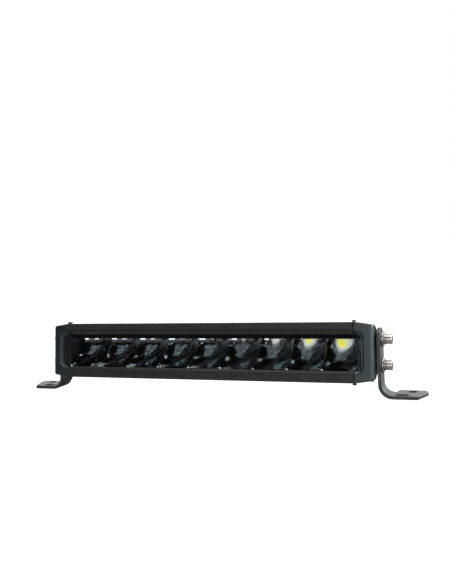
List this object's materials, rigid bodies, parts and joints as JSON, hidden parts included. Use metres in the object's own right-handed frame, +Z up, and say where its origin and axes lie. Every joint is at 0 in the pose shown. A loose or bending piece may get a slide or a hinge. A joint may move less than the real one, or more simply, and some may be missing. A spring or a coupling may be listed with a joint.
{
  "type": "led light bar",
  "caption": "Single-row LED light bar in a black finned aluminium housing, with clear lens, mirror cells and two pivoting L mounting brackets.",
  "frame": {"origin": "on the plane the bracket feet stand on, under the centre of the bounding box", "axes": "+X along the bar, longest; +Z up from the feet; -Y the way the lamp shines, Y the shortest extent"},
  "size_m": [0.4502, 0.0704, 0.0788],
  "materials": {
    "housing_coating": "fine black powder coat on extruded aluminium",
    "cap_coating": "fine black powder coat on cast aluminium",
    "bracket_coating": "satin dark grey coat on steel plate",
    "gasket_rubber": "matt silicone rubber",
    "pad_rubber": "matt rubber pad",
    "stainless_bolts": "satin stainless steel",
    "stainless_washers": "satin stainless steel",
    "stainless_screws": "satin stainless steel",
    "clear_polycarbonate": "clear polycarbonate",
    "reflector_mirror": "vacuum-metallised mirror",
    "black_plastic": "black moulded plastic",
    "led_board_white": "white solder mask",
    "thermal_pad_grey": "grey silicone heat pad",
    "led_phosphor": "yellow phosphor on white ceramic",
    "driver_board_green": "green circuit board",
    "ferrite": "moulded ferrite",
    "capacitor_can": "satin aluminium can",
    "connector_white": "white nylon",
    "gland_plastic": "black nylon"
  },
  "bodies": {
    "bar": {"housing": "housing_coating", "end_cap_left": "cap_coating", "gasket_left": "gasket_rubber", "cap_screw_left_1": "stainless_screws", "cap_screw_left_2": "stainless_screws", "cap_screw_left_3": "stainless_screws", "cap_screw_left_4": "stainless_screws", "bracket_pad_left": "pad_rubber", "washer_upper_left": "stainless_washers", "spring_washer_upper_left": "stainless_washers", "bolt_upper_left": "stainless_bolts", "washer_lower_left": "stainless_washers", "spring_washer_lower_left": "stainless_washers", "bolt_lower_left": "stainless_bolts", "end_cap_right": "cap_coating", "gasket_right": "gasket_rubber", "cap_screw_right_1": "stainless_screws", "cap_screw_right_2": "stainless_screws", "cap_screw_right_3": "stainless_screws", "cap_screw_right_4": "stainless_screws", "bracket_pad_right": "pad_rubber", "washer_upper_right": "stainless_washers", "spring_washer_upper_right": "stainless_washers", "bolt_upper_right": "stainless_bolts", "washer_lower_right": "stainless_washers", "spring_washer_lower_right": "stainless_washers", "bolt_lower_right": "stainless_bolts", "lens": "clear_polycarbonate", "lens_seal": "gasket_rubber", "reflector": "reflector_mirror", "baffle": "black_plastic", "led_board": "led_board_white", "thermal_pad": "thermal_pad_grey", "led_1": "led_phosphor", "led_2": "led_phosphor", "led_3": "led_phosphor", "led_4": "led_phosphor", "led_5": "led_phosphor", "led_6": "led_phosphor", "led_7": "led_phosphor", "led_8": "led_phosphor", "led_9": "led_phosphor", "driver_board": "driver_board_green", "driver_inductor": "ferrite", "driver_capacitor_1": "capacitor_can", "driver_capacitor_2": "capacitor_can", "driver_connector": "connector_white", "cable_gland": "gland_plastic", "gland_nut": "gland_plastic", "gland_locknut": "gland_plastic", "breather_vent": "gland_plastic"},
    "bracket_left": {"bracket_left": "bracket_coating"},
    "bracket_right": {"bracket_right": "bracket_coating"}
  },
  "joints": [
    {"name": "bracket_left_pivot", "type": "hinge", "parent": "bar", "child": "bracket_left", "pos_m": [-0.1798, -0.00615, 0.03185], "axis": [1, 0, 0], "range_deg": [-17, 3]},
    {"name": "bracket_right_pivot", "type": "hinge", "parent": "bar", "child": "bracket_right", "pos_m": [0.1798, -0.00615, 0.03185], "axis": [1, 0, 0], "range_deg": [-17, 3]}
  ]
}
